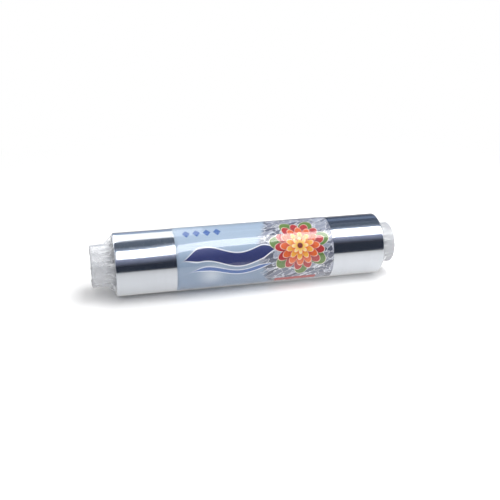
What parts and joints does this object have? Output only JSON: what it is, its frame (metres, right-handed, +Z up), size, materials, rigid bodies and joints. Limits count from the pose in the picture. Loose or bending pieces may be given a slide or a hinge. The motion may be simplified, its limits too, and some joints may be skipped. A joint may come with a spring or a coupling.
{
  "type": "aluminium foil roll",
  "caption": "Roll of aluminium foil on a paperboard core that stands out at both ends, with a printed band round its middle and clear shrink film over it, lying on its side.",
  "frame": {"origin": "on the floor, under the middle of the core's length", "axes": "+X along the core, with the longer stretch of bare core at -X; +Z up; the side that the picture shows faces -Y"},
  "size_m": [0.332, 0.0678, 0.0672],
  "materials": {
    "core_board": "matt paperboard, pale grey",
    "foil": "bright rolled foil, mirror-like, with fine lines round the roll",
    "label_print": null,
    "clear_film": "clear glossy shrink film with fine creases"
  },
  "bodies": {
    "root": {"core_tube": "core_board", "foil_roll": "foil", "label_band": "label_print", "film_wrap": "clear_film"}
  },
  "joints": []
}
